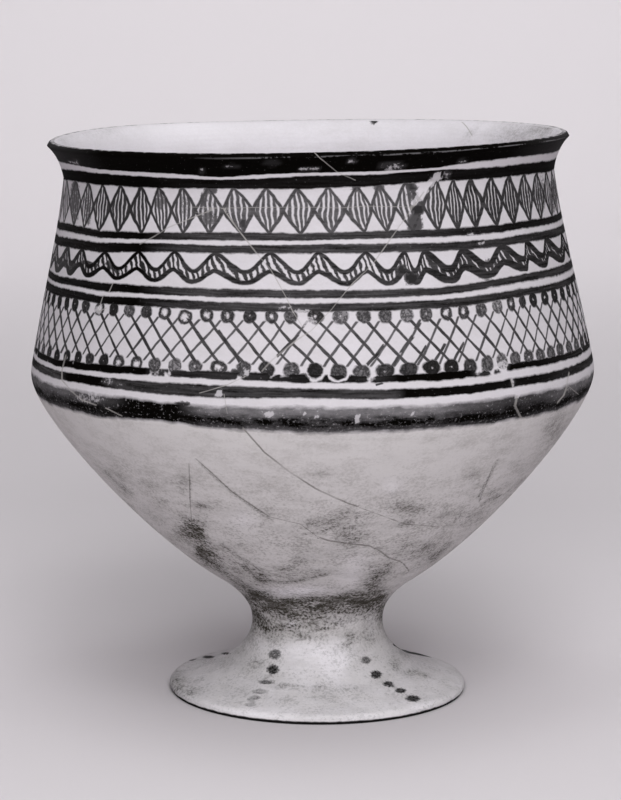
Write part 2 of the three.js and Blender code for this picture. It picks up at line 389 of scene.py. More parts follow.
def inside_profile(outside):
    """The outside moved in along its normals by the wall, thinner at the lip, then the rounded floor."""
    below_mouth = outside[:-ROWS["mouth"] + 1]
    way = below_mouth[2:] - below_mouth[:-2]
    way = way / np.hypot(way[:, 0], way[:, 1])[:, None]
    here = below_mouth[1:-1]
    below = np.clip((RIM_HEIGHT - here[:, 1]) / LIP_DEPTH, 0, 1)
    wall = LIP_THICKNESS + (WALL_THICKNESS - LIP_THICKNESS) * below
    moved = here + np.column_stack([-way[:, 1], way[:, 0]]) * wall[:, None]
    kept = (moved[:, 1] > FLOOR_HEIGHT + WALL_THICKNESS) & (moved[:, 1] < RIM_HEIGHT - LIP_THICKNESS)
    inside = moved[kept][::-1][::INSIDE_EVERY]
    lowest = inside[-1]
    floor = bend(ROWS["floor"], lowest, (lowest[0] * 0.65, FLOOR_HEIGHT), (0, FLOOR_HEIGHT))
    return np.vstack([inside, floor])


foot = foot_profile()
outside = np.vstack([bowl_profile(), lip_profile()])
inside = inside_profile(outside)
profile = np.vstack([foot, outside, inside])
row_count = len(profile)
mouth_row = len(foot) + len(outside) - ROWS["mouth"] // 2
first_top_row = len(foot) - ROWS["sweep"] - ROWS["edge"]

radius = profile[:, 0][:, None]
height = profile[:, 1][:, None]
turn = np.linspace(-math.pi, math.pi, COLUMNS + 1)[None, :]
angle = turn - FRONT_CLOSENESS * np.sin(turn)


def surface():
    """Each ring of the profile turned about +Z (x = r sin a, y = -r cos a), then leant."""
    across = radius * np.sin(angle)
    deep = -radius * np.cos(angle)
    rise = np.maximum(0, height - WAIST_HEIGHT) / (RIM_HEIGHT - WAIST_HEIGHT)
    x = across + RIM_SHIFT * rise
    middle = (x.min() + x.max()) / 2
    away = (angle - RIM_SWELL_AT + math.pi) % (2 * math.pi) - math.pi
    swell = RIM_SWELL * np.exp(-(away / RIM_SWELL_WIDTH) ** 2) * rise ** 8
    z = height + across * np.tan(RIM_TILT * rise) + swell
    return np.stack([x - middle, deep + 0 * x, z], axis=-1)


points = surface()


def to_picture(places):
    """Where places in the scene fall in the photograph: x to the right and y down, in its pixels."""
    focal = CAMERA_LENS * PICTURE_HEIGHT / FILM_LONG_SIDE
    away = places - np.array(CAMERA_PLACE)
    cos_pitch, sin_pitch = math.cos(CAMERA_PITCH), math.sin(CAMERA_PITCH)
    depth = away[..., 1] * cos_pitch - away[..., 2] * sin_pitch
    right = focal * away[..., 0] / depth
    down = -focal * (away[..., 1] * sin_pitch + away[..., 2] * cos_pitch) / depth
    cos_roll, sin_roll = math.cos(CAMERA_ROLL), math.sin(CAMERA_ROLL)
    return (PICTURE_WIDTH / 2 + cos_roll * right - sin_roll * down,
            PICTURE_HEIGHT / 2 + sin_roll * right + cos_roll * down)


picture_x, picture_y = to_picture(points)
along_row = np.gradient(points, axis=1)
along_column = np.gradient(points, axis=0)
outward = np.cross(along_row, along_column)
facing = np.einsum("ijk,ijk->ij", outward, np.array(CAMERA_PLACE) - points) > 0
row_number = np.arange(row_count)[:, None]
front = facing & (row_number >= first_top_row) & (row_number <= mouth_row)
inner_front = facing & (row_number > mouth_row)
bowl_rows = slice(len(foot) + ROWS["rise"], mouth_row + 1)
columns_all = np.arange(COLUMNS + 1)


def ring_along(ys):
    """Height, column by column, at which the bowl's outside crosses a line in the picture.

    The line is straight between its places, and behind the goblet the height runs evenly from end to end.
    """
    lift = np.interp(picture_x[bowl_rows], ACROSS, ys) - picture_y[bowl_rows]
    above = np.argmax(lift >= 0, axis=0)
    below = np.maximum(above - 1, 0)
    share = -lift[below, columns_all] / (lift[above, columns_all] - lift[below, columns_all] + 1e-9)
    bowl_height = height[bowl_rows, 0]
    found = bowl_height[below] + share * (bowl_height[above] - bowl_height[below])
    crossing = picture_x[bowl_rows][above, columns_all]
    between = (crossing > ACROSS[0]) & (crossing < ACROSS[-1])
    seen = facing[bowl_rows][above, columns_all] & between & (above > 0)
    return np.interp(angle[0], angle[0, seen], found[seen], period=2 * math.pi)


def angles_at(xs, level):
    """Angles on the front of the ring at this height where it crosses these places across the picture."""
    row = len(foot) + np.argmin(np.abs(outside[:-ROWS["mouth"], 1] - level))
    seen = np.nonzero(facing[row])[0]
    return np.interp(xs, picture_x[row, seen], angle[0, seen])


def count_round(marks):
    """Counts marks round the goblet: whole at each mark, and evenly spaced behind, where none are seen."""
    behind = 2 * math.pi - (marks[-1] - marks[0])
    middle = np.diff(marks)[len(marks) // 4:-(len(marks) // 4)].mean()
    total = len(marks) - 1 + max(1, round(behind / middle))
    places = np.concatenate([[marks[-1] - 2 * math.pi], marks, [marks[0] + 2 * math.pi]])
    counts = np.concatenate([[len(marks) - 1 - total], np.arange(len(marks)), [total]])
    return np.interp(angle[0], places, counts)


def wave_round(peaks, troughs):
    """As count_round, with whole numbers at the peaks and halves at the troughs between them."""
    marks = np.sort(np.concatenate([peaks, troughs]))
    counts = count_round(marks)
    if round(counts[-1] - counts[0]) % 2:
        counts = counts + np.interp(angle[0], (marks[-1], math.pi), (0, 1))
    return (counts - (1 if troughs.min() < peaks.min() else 0)) / 2


def load_round(stops, level):
    """The brush's load round the goblet from its places across the picture, evenly joined behind."""
    xs, loads = zip(*stops)
    return np.interp(angle[0], angles_at(xs, level), loads, period=2 * math.pi)


# Band edges as heights round the bowl, from the lowest to the highest
edge_names = list(EDGES_DOWN)[::-1]
edge_rings = {name: ring_along(EDGES_DOWN[name]) for name in edge_names}
level_of = {name: edge_rings[name].mean() for name in edge_names}
level_of["mouth"] = float(height[mouth_row, 0])
edge_rings["mouth"] = level_of["mouth"] - BACK_PAINT_DROP * (1 - np.cos(angle[0])) / 2
edge_names.append("mouth")


def levels():
    """Height made straight: each band's edges, which wander round the bowl, lie at one level each."""
    step = np.hypot(np.diff(radius[:, 0]), np.diff(height[:, 0]))
    over_mouth = np.concatenate([np.zeros(mouth_row + 1), np.cumsum(step[mouth_row:])])
    climbed = np.where(row_number[:, 0] > mouth_row, level_of["mouth"] + over_mouth, height[:, 0])[:, None]
    lowest = edge_names[0]
    level = climbed - edge_rings[lowest] + level_of[lowest]
    for low, high in zip(edge_names, edge_names[1:]):
        span = edge_rings[high] - edge_rings[low]
        within = np.clip(climbed - edge_rings[low], 0, span)
        level = level + within * ((level_of[high] - level_of[low]) / span - 1)
    return level


def near_lines(lines, where, reach):
    """Of the nearest line: how far to its side, in half widths, and how far past its ends or clear."""
    nearest = np.full(picture_x.shape, np.inf)
    beside = np.full(picture_x.shape, NO_LINE_NEAR)
    clear = np.full(picture_x.shape, NO_LINE_NEAR)
    for half_width, *line in lines:
        for (x0, y0), (x1, y1) in zip(line, line[1:]):
            length = math.hypot(x1 - x0, y1 - y0)
            along = ((picture_x - x0) * (x1 - x0) + (picture_y - y0) * (y1 - y0)) / length
            side = ((x1 - x0) * (picture_y - y0) - (y1 - y0) * (picture_x - x0)) / length
            past = np.maximum(0, np.abs(along - length / 2) - length / 2)
            plain = np.hypot(side, past)
            closer = plain < nearest
            nearest = np.where(closer, plain, nearest)
            beside = np.where(closer, side / half_width, beside)
            clear = np.where(closer, past + np.maximum(0, np.abs(side) - reach - half_width), clear)
    return np.where(where, beside, NO_LINE_NEAR), np.where(where, clear, NO_LINE_NEAR)


def ellipses(places, where):
    """One at the middle of the nearest ellipse, nought on its edge, and less beyond it."""
    best = np.full(picture_x.shape, NO_DOT_NEAR)
    for x, y, half_width, half_height in places:
        out = np.hypot((picture_x - x) / half_width, (picture_y - y) / half_height)
        best = np.maximum(best, 1 - out)
    return np.where(where, best, NO_DOT_NEAR)


def patches(places):
    """The deepest of soft-edged patches, each full over its middle and gone at 1.3 of its half sizes."""
    depth = np.zeros(picture_x.shape)
    for x, y, half_width, half_height, strength in places:
        out = np.hypot((picture_x - x) / half_width, (picture_y - y) / half_height)
        depth = np.maximum(depth, strength * np.clip((1.3 - out) / 0.5, 0, 1))
    return np.where(front, depth, 0)


def clouds(places, where):
    """The sum of soft round clouds, each falling off as a bell."""
    depth = np.zeros(picture_x.shape)
    for x, y, half_width, half_height, strength in places:
        out = ((picture_x - x) / half_width) ** 2 + ((picture_y - y) / half_height) ** 2
        depth = depth + strength * np.exp(-out)
    return np.where(where, np.clip(depth, 0, 1.3), 0)


def dot_looks(counts, looks):
    """Strength, bare middle and rise of the dot that each count is nearest to, repeated behind."""
    values = np.array([DOT_LOOKS[letter] for letter in looks])
    return values[np.rint(counts).astype(int) % len(looks)]


level = levels()
whole_rows = np.zeros(picture_x.shape)
run = np.concatenate([[0], np.cumsum(np.hypot(*np.diff(profile, axis=0).T))])[:, None] * MM
hatch_middle = (level_of["sixth band low"] + level_of["seventh band high"]) / 2
wave_middle = (level_of["fourth band low"] + level_of["fifth band high"]) / 2
upper_count = count_round(angles_at(UPPER_DOTS, level_of["sixth band low"] - DOTS_READ_BELOW))
lower_count = count_round(angles_at(LOWER_DOTS, level_of["seventh band high"] + DOTS_READ_ABOVE))
lozenge_top_count = count_round(angles_at(LOZENGE_TOPS, level_of["second band low"]))
lozenge_foot_count = count_round(angles_at(LOZENGE_FEET, level_of["third band high"]))
wave_count = wave_round(angles_at(WAVE_PEAKS, wave_middle), angles_at(WAVE_TROUGHS, wave_middle))
looks = np.where((level > hatch_middle)[..., None], dot_looks(upper_count, UPPER_DOT_LOOKS)[None],
                 dot_looks(lower_count, LOWER_DOT_LOOKS)[None])

load = load_round(UPPER_LOAD, wave_middle) + whole_rows
for name, stops in LOADS_DOWN.items():
    ring = load_round(stops, level_of[name + " low"])
    load = np.where(level < level_of[name + " high"] + LOAD_MARGIN, ring, load)

break_side, break_clear = near_lines(BREAKS, front, LINE_REACH)
inner_side, inner_clear = near_lines(INSIDE_BREAKS, inner_front, INSIDE_LINE_REACH)
break_side = np.where(inner_front, inner_side, break_side)
break_clear = np.where(inner_front, inner_clear, break_clear)
stroke_side, stroke_clear = near_lines(STROKES, front, LINE_REACH)
dirt_side, dirt_clear = near_lines(DIRT_LINES, front, LINE_REACH)
far_dots = np.maximum(ellipses(FOOT_DOTS, front & (height < WAIST_HEIGHT)), ellipses(RIM_DABS, inner_front))
stains_and_shade = clouds(STAINS_AND_SHADE, front) + clouds(STAINS_INSIDE, inner_front)
pale_and_lit = clouds(PALE_AND_LIT_PLACES, front | inner_front)

carried = {
    "rings": (level * MM, upper_count + whole_rows, lower_count + whole_rows),
    "counts": (lozenge_top_count + whole_rows, lozenge_foot_count + whole_rows, wave_count + whole_rows),
    "looks": (looks[..., 0], looks[..., 1], looks[..., 2]),
    "breaks": (break_side, break_clear, patches(SMEARS)),
    "strokes": (stroke_side, stroke_clear, patches(RUBS)),
    "dirt_and_shade": (dirt_side, dirt_clear, stains_and_shade),
    "wear_and_painted_light": (far_dots, height * MM + whole_rows, pale_and_lit),
    "brush": (load, angle + whole_rows, run + whole_rows),
}


def build_body():
    """The grid as one closed mesh: the first and last rings are single points, and the seam is shared."""
    rings = np.arange(COLUMNS)
    ring_points = points[1:-1, :COLUMNS].reshape(-1, 3)
    ends = np.array([points[0, 0], points[-1, 0]])
    vertices = np.vstack([ring_points, ends])
    numbers = np.zeros((row_count, COLUMNS + 1), int)
    numbers[1:-1, :COLUMNS] = np.arange((row_count - 2) * COLUMNS).reshape(row_count - 2, COLUMNS)
    numbers[1:-1, COLUMNS] = numbers[1:-1, 0]
    numbers[0], numbers[-1] = len(ring_points), len(ring_points) + 1
    last = row_count - 1
    first, second = 0 * rings, 0 * rings + 1
    end, before_end = 0 * rings + last, 0 * rings + last - 1
    first_fan = np.stack([first, rings, second, rings + 1, second, rings], axis=-1)
    last_fan = np.stack([end, rings, before_end, rings, before_end, rings + 1], axis=-1)
    i, j = np.meshgrid(np.arange(1, last - 1), rings, indexing="ij")
    quads = np.stack([i, j, i, j + 1, i + 1, j + 1, i + 1, j], axis=-1).reshape(-1, 4, 2)
    triangles = np.vstack([first_fan, last_fan]).reshape(-1, 3, 2)
    faces = numbers[triangles[..., 0], triangles[..., 1]].tolist()
    faces += numbers[quads[..., 0], quads[..., 1]].tolist()
    corners = np.vstack([triangles.reshape(-1, 2), quads.reshape(-1, 2)])
    mesh = bpy.data.meshes.new("goblet_body")
    mesh.from_pydata(vertices.tolist(), [], faces)
    mesh.shade_smooth()
    return mesh, corners[:, 0], corners[:, 1]


def carry(mesh, rows, columns):
    """Puts each group of three grids onto the mesh's corners, unwrapped at the seam."""
    for name, grids in carried.items():
        values = np.stack([grid[rows, columns] for grid in grids], axis=-1)
        layer = mesh.attributes.new(name, "FLOAT_VECTOR", "CORNER")
        layer.data.foreach_set("vector", values.astype(np.float32).ravel())


def face_start(numbers):
    """For each corner the lowest row or column number of its face, with the fans' triangles first."""
    fans = 2 * COLUMNS * 3
    triangles = numbers[:fans].reshape(-1, 3).min(axis=1).repeat(3)
    quads = numbers[fans:].reshape(-1, 4).min(axis=1).repeat(4)
    return np.concatenate([triangles, quads])


def unwrap(mesh, rows, columns):
    """Lays the surface out in strips: the painted wall in two halves, then the rest in full rounds."""
    start_row, start_column = face_start(rows), face_start(columns)
    from_band = np.abs(outside[:-ROWS["mouth"], 1] - level_of["broad band low"])
    wall_row = len(foot) + int(np.argmin(from_band)) - 1
    left, right = (int(np.argmin(np.abs(angle[0] - turn))) for turn in (-math.pi / 2, math.pi / 2))
    tip = ((rows == 0) | (rows == row_count - 1)) * 0.5
    turned = np.interp(columns + tip, np.arange(COLUMNS + 1), angle[0])
    on_wall = (start_row >= wall_row) & (start_row < mouth_row)
    in_front = (start_column >= left) & (start_column < right)
    front_share = (turned - angle[0, left]) / (angle[0, right] - angle[0, left])
    behind = turned + np.where(start_column < left, 2 * math.pi, 0) - angle[0, right]
    back_share = behind / (angle[0, left] + 2 * math.pi - angle[0, right])
    half_share = np.where(in_front, front_share, back_share)
    across = np.where(on_wall, half_share, (turned + math.pi) / (2 * math.pi))
    along = np.zeros(len(rows))
    strips = ((0, UNDERSIDE_ROWS, SHEET_EDGE, 0.025), (UNDERSIDE_ROWS, wall_row, 0.12, 0.305),
              (wall_row, mouth_row, 0.31, 0.65), (mouth_row, row_count - 1, 0.03, 0.115))
    for first, last, low, high in strips:
        share = (run[rows, 0] - run[first, 0]) / (run[last, 0] - run[first, 0])
        along = np.where((start_row >= first) & (start_row < last), low + share * (high - low), along)
    along = np.where(on_wall & in_front, along + FRONT_HALF_UP, along)
    places = np.stack([SHEET_EDGE + across * (1 - 2 * SHEET_EDGE), along], axis=-1)
    layer = mesh.uv_layers.new(name="OFBake")
    layer.data.foreach_set("uv", places.astype(np.float32).ravel())


body_mesh, corner_rows, corner_columns = build_body()
carry(body_mesh, corner_rows, corner_columns)
unwrap(body_mesh, corner_rows, corner_columns)
body = bpy.data.objects.new("goblet_body", body_mesh)
bpy.context.scene.collection.objects.link(body)


class Field:
    """A number that varies over the clay, worked out by shader nodes as sums are written with it."""

    def __init__(self, tree, socket):
        self.tree = tree
        self.socket = socket

    def sum(self, operation, *others, clamp=False):
        node = self.tree.nodes.new("ShaderNodeMath")
        node.operation = operation
        node.use_clamp = clamp
        for place, value in zip(node.inputs, (self,) + others):
            if isinstance(value, Field):
                self.tree.links.new(value.socket, place)
            else:
                place.default_value = value
        return Field(self.tree, node.outputs[0])

    def __add__(self, other):
        return self.sum("ADD", other)

    def __sub__(self, other):
        return self.sum("SUBTRACT", other)

    def __mul__(self, other):
        return self.sum("MULTIPLY", other)

    def __truediv__(self, other):
        return self.sum("DIVIDE", other)

    def __pow__(self, other):
        return self.sum("POWER", other)

    def flip(self):
        return (self * -1) + 1

    def size(self):
        return self.sum("ABSOLUTE")

    def most(self, other):
        return self.sum("MAXIMUM", other)

    def limited(self):
        return self.sum("ADD", 0.0, clamp=True)

    def whole(self):
        return self.sum("ROUND")

    def off_whole(self):
        return self - self.whole()

    def above(self, edge, soft):
        """Nought below the edge and one above it, soft over this width."""
        return ((self - edge) / soft).sum("ADD", 0.5, clamp=True)

    def below(self, edge, soft):
        return ((self - edge) / -soft).sum("ADD", 0.5, clamp=True)

    def within(self, low, high, soft):
        return self.above(low, soft) * self.below(high, soft)

    def towards(self, other, share):
        return self + (other - self) * share


class Finish:
    """A material's node tree, with short ways to read what the mesh carries and to make noise."""

    def __init__(self, name):
        self.material = bpy.data.materials.new(name)
        self.material.use_nodes = True
        self.tree = self.material.node_tree
        self.shader = self.tree.nodes["Principled BSDF"]
        self.place = self.tree.nodes.new("ShaderNodeTexCoord").outputs["Object"]

    def read(self, name):
        node = self.tree.nodes.new("ShaderNodeAttribute")
        node.attribute_name = name
        split = self.tree.nodes.new("ShaderNodeSeparateXYZ")
        self.tree.links.new(node.outputs["Vector"], split.inputs[0])
        return [Field(self.tree, output) for output in split.outputs]

    def noise(self, stretch, detail=2.0, roughness=0.55):
        """Noise from 0 to 1 whose grains are this many to the metre along x and y, and along z."""
        turn = self.tree.nodes.new("ShaderNodeMapping")
        turn.inputs["Scale"].default_value = (stretch[0], stretch[0], stretch[1])
        node = self.tree.nodes.new("ShaderNodeTexNoise")
        node.inputs["Scale"].default_value = 1.0
        node.inputs["Detail"].default_value = detail
        node.inputs["Roughness"].default_value = roughness
        self.tree.links.new(self.place, turn.inputs["Vector"])
        self.tree.links.new(turn.outputs["Vector"], node.inputs["Vector"])
        return Field(self.tree, node.outputs["Fac"])

    def blend(self, share, start, end):
        """A colour that goes from start to end by this share."""
        node = self.tree.nodes.new("ShaderNodeMix")
        node.data_type = "RGBA"
        self.tree.links.new(share.socket, node.inputs["Factor"])
        for place, colour in (("A", start), ("B", end)):
            socket = next(s for s in node.inputs if s.name == place and s.type == "RGBA")
            if isinstance(colour, tuple):
                socket.default_value = colour + (1.0,)
            else:
                self.tree.links.new(colour, socket)
        return next(s for s in node.outputs if s.type == "RGBA")


# Colours, in linear light
SLIP = (0.66, 0.63, 0.67)
# The same slip inside the bowl, painted lighter: painted light on the inside
LIT_INSIDE_SLIP = (0.725, 0.695, 0.74)
LOW_CLAY = (0.635, 0.61, 0.612)
# Whiter clay, also used for the painted light under the bowl
PALE_AND_LIT_CLAY = (0.90, 0.87, 0.91)
GREY_CLAY = (0.40, 0.378, 0.37)
# Paint, and also the black of the painted contact shadow along the foot's lowest edge
PAINT_AND_SHADOW = (0.0014, 0.0010, 0.0006)
# Colour of the stains, and also of the painted shade at the belly's sides
STAIN_AND_SHADE_COLOUR = (0.050, 0.045, 0.037)
BREAK_COLOUR = (0.40, 0.38, 0.37)
DEEP_BREAK = (0.10, 0.09, 0.08)

# Sizes of the brushwork, and the height of the painted contact shadow at the foot, in millimetres on the
# clay
SPREAD_BELOW = 0.34
SPREAD_ABOVE = 0.22
LOZENGE_WIDTH = 7.4
LOZENGE_LINE = 0.32
LOZENGE_STROKES = 5.4
WAVE_LINE = 0.42
WAVE_RUNGS = 7
HATCH_SPACING = 4.636
DOT_HALF_WIDTH = 0.325
DOT_EXTRA_WIDTH = 0.065
DOT_HALF_HEIGHT = 1.9
UPPER_DOTS_BELOW = 1.45
LOWER_DOTS_ABOVE = 1.0
# Painted contact shadow: the foot's lowest edge is painted black up to this height
FOOT_SHADOW_HEIGHT = 0.65
LIP_EDGE = 148.35

# Angles round the goblet from the front, to its right, at which the brushwork changes
# Past this angle, to either side, the crosshatch is drawn thicker, partly as painted shade at the
# silhouettes
SIDES_FROM = 1.1
RIGHT_HEAVY_FROM = 0.5
WAVE_HEAVY_RIGHT = 0.38
WAVE_HEAVY_LEFT = -0.95
LIP_WEAR_LEFT = -0.3
LIP_WEAR_RIGHT = 1.25


class Clay:
    """All that the finish varies with: what the mesh carries at its corners, and grains of noise."""

    def __init__(self, finish):
        self.level, self.upper, self.lower = finish.read("rings")
        self.top, self.bottom, self.wave = finish.read("counts")
        self.strength, self.hole, self.rise = finish.read("looks")
        self.break_beside, self.break_clear, self.smear = finish.read("breaks")
        self.stroke_beside, self.stroke_clear, self.rub = finish.read("strokes")
        self.dirt_beside, self.dirt_clear, self.stain_and_shade = finish.read("dirt_and_shade")
        self.far_dot, self.real_height, self.pale_and_lit = finish.read("wear_and_painted_light")
        self.load, self.round_angle, self.climb = finish.read("brush")
        self.wobble = finish.noise((420, 420), 2.0)
        self.fine_wobble = finish.noise((1500, 1500), 2.0)
        self.uneven = finish.noise((160, 160), 1.0)
        self.grain = finish.noise((1300, 1700), 3.0, 0.7)
        self.brush = finish.noise((90, 1500), 3.0, 0.6)
        self.mottle = finish.noise((150, 520), 5.0, 0.68)
        self.wide = finish.noise((45, 60), 3.0)
        self.streak = finish.noise((80, 300), 5.0, 0.66)
        self.cloud = finish.noise((130, 190), 4.0, 0.6)
        self.edge_level = self.level + (self.wobble - 0.5) * 0.65 + (self.fine_wobble - 0.5) * 0.16
        self.aside = self.round_angle.size().above(SIDES_FROM, 0.5)
        self.right_heavy = self.round_angle.above(RIGHT_HEAVY_FROM, 0.3)
        worn_brush = (self.brush - 0.5) * 0.34 + (self.grain - 0.5) * 0.12 + 0.085
        self.dry = self.load.flip() * worn_brush.limited()
        self.plain = self.level.below(level_of["broad band low"] * MM, 1.5)
        self.broken = (self.fine_wobble - 0.5) * 1.2 + (self.mottle - 0.5) * 1.0


def band(level, name, soft=0.42):
    """A band between its two edges, a little wider than the lines that were read for them."""
    low = level_of[name + " low"] * MM - SPREAD_BELOW
    high = level_of[name + " high"] * MM + SPREAD_ABOVE
    return level.within(low, high, soft)


def rim_band(level):
    """The band from its lower edge up to the edge of the mouth."""
    low = level_of["rim band low"] * MM - SPREAD_BELOW
    return level.above(low, 0.38) * level.below(level_of["mouth"] * MM + 0.1, 0.28)


def broad_band(clay):
    """The band below the shoulder: ragged at its edges, thin and flecked where the brush ran dry."""
    low = level_of["broad band low"] * MM
    high = level_of["broad band high"] * MM
    ragged = (clay.uneven - 0.5) * 1.2 + (clay.mottle - 0.5) * 2.2 * (clay.load * 0.7).flip()
    up = (clay.edge_level + ragged - low) / (high - low)
    thin = up.above(0.60, 0.4) * 0.26 + up.below(0.14, 0.26) * 0.14 + 0.02
    thin = (thin + (clay.mottle - 0.5) * 0.45 + (clay.grain - 0.5) * 0.2) * clay.load.flip() * 1.25
    flecks = clay.grain.above(0.64, 0.08) * (clay.mottle * 0.9 + 0.1)
    return up.within(-0.02, 1.04, 0.18) * thin.flip().limited() * (flecks * 0.45).flip()


def painted_bands(clay):
    """All the bands: the upper ones nearly full, the rest as full as the brush was at each place."""
    level, dry = clay.edge_level, clay.dry
    full = dry.flip()
    bands = band(level, "second band") * (dry * 0.12).flip()
    bands = bands.most(band(level, "third band") * (dry * (clay.right_heavy * -0.7 + 1)).flip())
    for name in ("fourth band", "fifth band", "sixth band", "eighth band"):
        bands = bands.most(band(level, name) * full)
    bands = bands.most(rim_band(level) * (clay.aside * 0.05).flip())
    gaps = (clay.wobble * 0.5 + clay.uneven * 0.5 + (clay.load - 1) * 0.32).above(0.33, 0.08)
    bands = bands.most(band(level + (clay.uneven - 0.5) * 0.9, "seventh band") * gaps * full)
    return bands.most(broad_band(clay))


def lozenges(clay, heavy):
    """Outlines |f| = half (1 - |s|^q) round each count s, with upright strokes that close at the tips."""
    uneven = clay.uneven
    low, high = level_of["third band high"] * MM, level_of["second band low"] * MM
    share = (clay.level - low) / (high - low)
    across = clay.bottom.towards(clay.top, share) + (clay.wobble - 0.5) * 0.10
    off = across.off_whole()
    half = ((share * 2 - 1).size() ** 1.12).flip() * 0.5
    slant = (high - low) / math.hypot(high - low, LOZENGE_WIDTH)
    line_width = uneven * 0.24 + heavy * 0.12 + LOZENGE_LINE
    line = ((off.size() - half).size() * (LOZENGE_WIDTH * slant)).below(line_width, 0.28)
    spacing = off / (half * 0.6 + 0.7) * LOZENGE_STROKES + uneven * 1.4
    stroke_width = uneven * 0.26 + heavy * 0.07 + 0.185
    strokes = spacing.off_whole().size().below(stroke_width, 0.2) * (half - off.size()).above(0.0, 0.03)
    zone = clay.level.within(low - 0.3, high + 0.3, 0.4)
    return (line * (heavy * 0.04 + 0.94)).most(strokes * (heavy * 0.08 + 0.90)) * zone


def waves(clay):
    """A ribbon between two swinging lines, sharp above and round below, crossed by slanting rungs."""
    count, wobble, uneven = clay.wave, clay.wobble, clay.uneven
    heavy = clay.round_angle.above(WAVE_HEAVY_RIGHT, 0.3).most(clay.round_angle.below(WAVE_HEAVY_LEFT, 0.3))
    low, high = level_of["fifth band high"] * MM, level_of["fourth band low"] * MM
    share = (clay.level - low) / (high - low) + (wobble - 0.5) * 0.07
    turn = count * (2 * math.pi)
    swing = turn.sum("COSINE") * 0.6 + (count * math.pi).sum("SINE").size() * -0.8 + 0.4
    fall = turn.sum("SINE")
    steep = (fall * fall * 0.9 + 1).sum("SQRT")
    upper = swing * 0.25 + 0.725
    lower = swing * 0.155 + 0.345
    half_width = heavy * 0.34 + uneven * 0.14 + WAVE_LINE
    upper_line = ((share - upper).size() * (high - low) / steep).below(half_width, 0.25)
    lower_line = ((share - lower).size() * (high - low) / steep).below(half_width, 0.25)
    rungs = count * WAVE_RUNGS + (share - 0.57) * (fall * 0.9 + 2.2) + (wobble - 0.5) * 1.2
    inside_ribbon = (upper - share).above(0, 0.02) * (share - lower).above(0, 0.02)
    rung_width = uneven * 0.16 + heavy * 0.12 + 0.2
    rung_lines = rungs.off_whole().size().below(rung_width, 0.16) * inside_ribbon
    zone = clay.level.within(low + 0.3, high + 0.3, 0.3)
    return upper_line.most(lower_line).most(rung_lines * 0.97) * zone


def crosshatch(clay):
    """Two sets of slanting strokes that join the counts of the upper dots to those of the lower dots, drawn
    thicker at the sides, partly as painted shade where the goblet turns away.
    """
    uneven = clay.uneven
    low, high = level_of["seventh band high"] * MM + 1.2, level_of["sixth band low"] * MM - 2.9
    share = (clay.level - low) / (high - low) + (clay.wobble - 0.5) * 0.04
    falling = ((clay.lower - 1).towards(clay.upper, share) - 0.17).off_whole().size() * HATCH_SPACING
    rising = ((clay.lower + 2.38).towards(clay.upper, share) + 0.35).off_whole().size() * HATCH_SPACING
    # Thicker at both sides: partly the denser hatching there, partly painted shade at the silhouettes
    falling_line = falling.below(uneven * 0.42 + clay.aside * 0.26 + 0.22, 0.22)
    rising_line = rising.below(uneven * 0.30 + clay.aside * 0.26 + 0.17, 0.22)
    zone = (clay.level + uneven * 1.2).within(low + 1.4, high + 1.0, 0.4)
    return (falling_line * (uneven * 0.08 + 0.91)).most(rising_line * (uneven * 0.12 + 0.83)) * zone


def from_dot(clay, count, middle, width):
    """How far a place is out from the nearest dot's middle, and how far up from it, in half sizes."""
    across = count.off_whole() / width
    up = (clay.level - middle) / DOT_HALF_HEIGHT - clay.rise
    return (across * across + up * up).sum("SQRT") + (clay.wobble - 0.5) * 0.7, up


def dots(clay, out):
    """Round dots, mottled where the paint is weak, and some with a bare middle."""
    mottle = clay.fine_wobble
    bare = (out + (mottle - 0.5) * 0.8).above(clay.hole, 0.3)
    fill = (mottle.above(0.52, 0.12) * clay.strength.flip() * 1.3).flip() * (clay.strength * 0.6 + 0.385)
    return out.below(1.0, 0.22) * bare * fill


def bare_ring(clay, out, up):
    """The ring of bare clay round the lower half of a few dots."""
    return out.within(1.05, 1.35, 0.2) * clay.hole.below(-0.5, 0.1) * up.below(0.0, 0.3)


def line_of(beside, clear, wobble, soft=0.5):
    """One along a drawn line, from its sideways distance in half widths."""
    return (beside + (wobble - 0.5) * 0.9).size().below(1.0, soft) * clear.below(0.8, 0.8)


def painted_pattern(clay):
    """Lozenges, waves, crosshatch and both rows of dots, and where the lower dots leave the band bare."""
    left_heavy = clay.round_angle.within(-SIDES_FROM, -RIGHT_HEAVY_FROM, 0.4) * 0.45
    heavy = left_heavy.most(clay.right_heavy) * (clay.aside * -0.6 + 1)
    washed = clay.round_angle.below(-SIDES_FROM, 0.3) * 0.08
    pattern = lozenges(clay, heavy).most(waves(clay)).most(crosshatch(clay)) * washed.flip()
    upper_middle = level_of["sixth band low"] * MM - UPPER_DOTS_BELOW
    lower_middle = level_of["seventh band high"] * MM + LOWER_DOTS_ABOVE
    wider = clay.round_angle.above(0.0, 0.5) * DOT_EXTRA_WIDTH + DOT_HALF_WIDTH
    upper_out = from_dot(clay, clay.upper, upper_middle, DOT_HALF_WIDTH)[0]
    lower_out, lower_up = from_dot(clay, clay.lower, lower_middle, wider)
    upper_side = clay.level.above(hatch_middle * MM, 0.1)
    drawn = (dots(clay, upper_out) * upper_side).most(dots(clay, lower_out) * upper_side.flip())
    ring = bare_ring(clay, lower_out, lower_up) * upper_side.flip()
    return (pattern * (clay.dry * 0.9).flip()).most(drawn), ring


